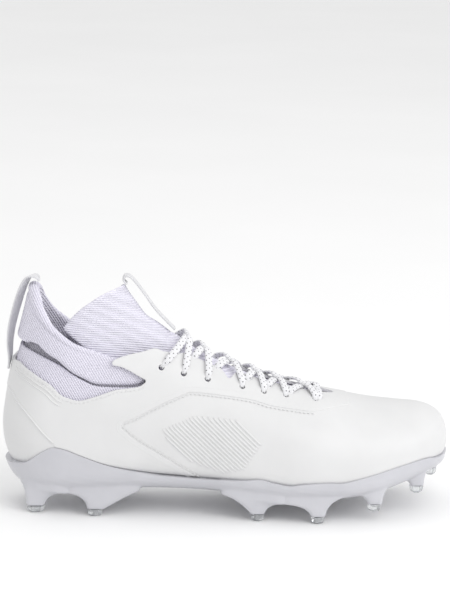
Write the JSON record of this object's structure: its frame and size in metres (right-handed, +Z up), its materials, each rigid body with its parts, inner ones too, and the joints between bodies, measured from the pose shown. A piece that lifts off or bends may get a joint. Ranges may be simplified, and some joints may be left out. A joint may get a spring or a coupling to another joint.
{
  "type": "soccer cleat",
  "caption": "Mid-cut white cleat with a knit collar and tongue, laces, two pull loops and a moulded plate with clear-tipped studs, standing empty.",
  "frame": {"origin": "on the floor under the middle of the shoe's box", "axes": "+X from heel to toe, +Z up, outer side of the foot towards -Y"},
  "size_m": [0.2924, 0.0992, 0.1537],
  "materials": {
    "shell": "smooth coated synthetic, satin",
    "knit": "fine ribbed knit",
    "insole": "brushed",
    "plate": "moulded, semi-gloss",
    "stud_tip": "clear",
    "lace": "woven with small dark flecks",
    "ribbon": "satin ribbon"
  },
  "bodies": {
    "root": {"upper": "shell", "ankle_panel": "knit", "collar": "knit", "tongue": "knit", "insole": "insole", "sole_plate": "plate", "stud_tip_heel_outer_rear": "stud_tip", "stud_tip_heel_inner_rear": "stud_tip", "stud_tip_heel_outer_front": "stud_tip", "stud_tip_heel_inner_front": "stud_tip", "stud_tip_outer_1": "stud_tip", "stud_tip_outer_2": "stud_tip", "stud_tip_outer_3": "stud_tip", "stud_tip_outer_4": "stud_tip", "stud_tip_inner_1": "stud_tip", "stud_tip_inner_2": "stud_tip", "stud_tip_inner_3": "stud_tip", "stud_tip_inner_4": "stud_tip", "stud_tip_toe": "stud_tip", "lace_cross_1": "lace", "lace_cross_2": "lace", "lace_cross_3": "lace", "lace_cross_4": "lace", "lace_cross_5": "lace", "lace_cross_6": "lace", "lace_bar": "lace", "heel_loop": "ribbon", "tongue_loop": "ribbon"}
  },
  "joints": []
}
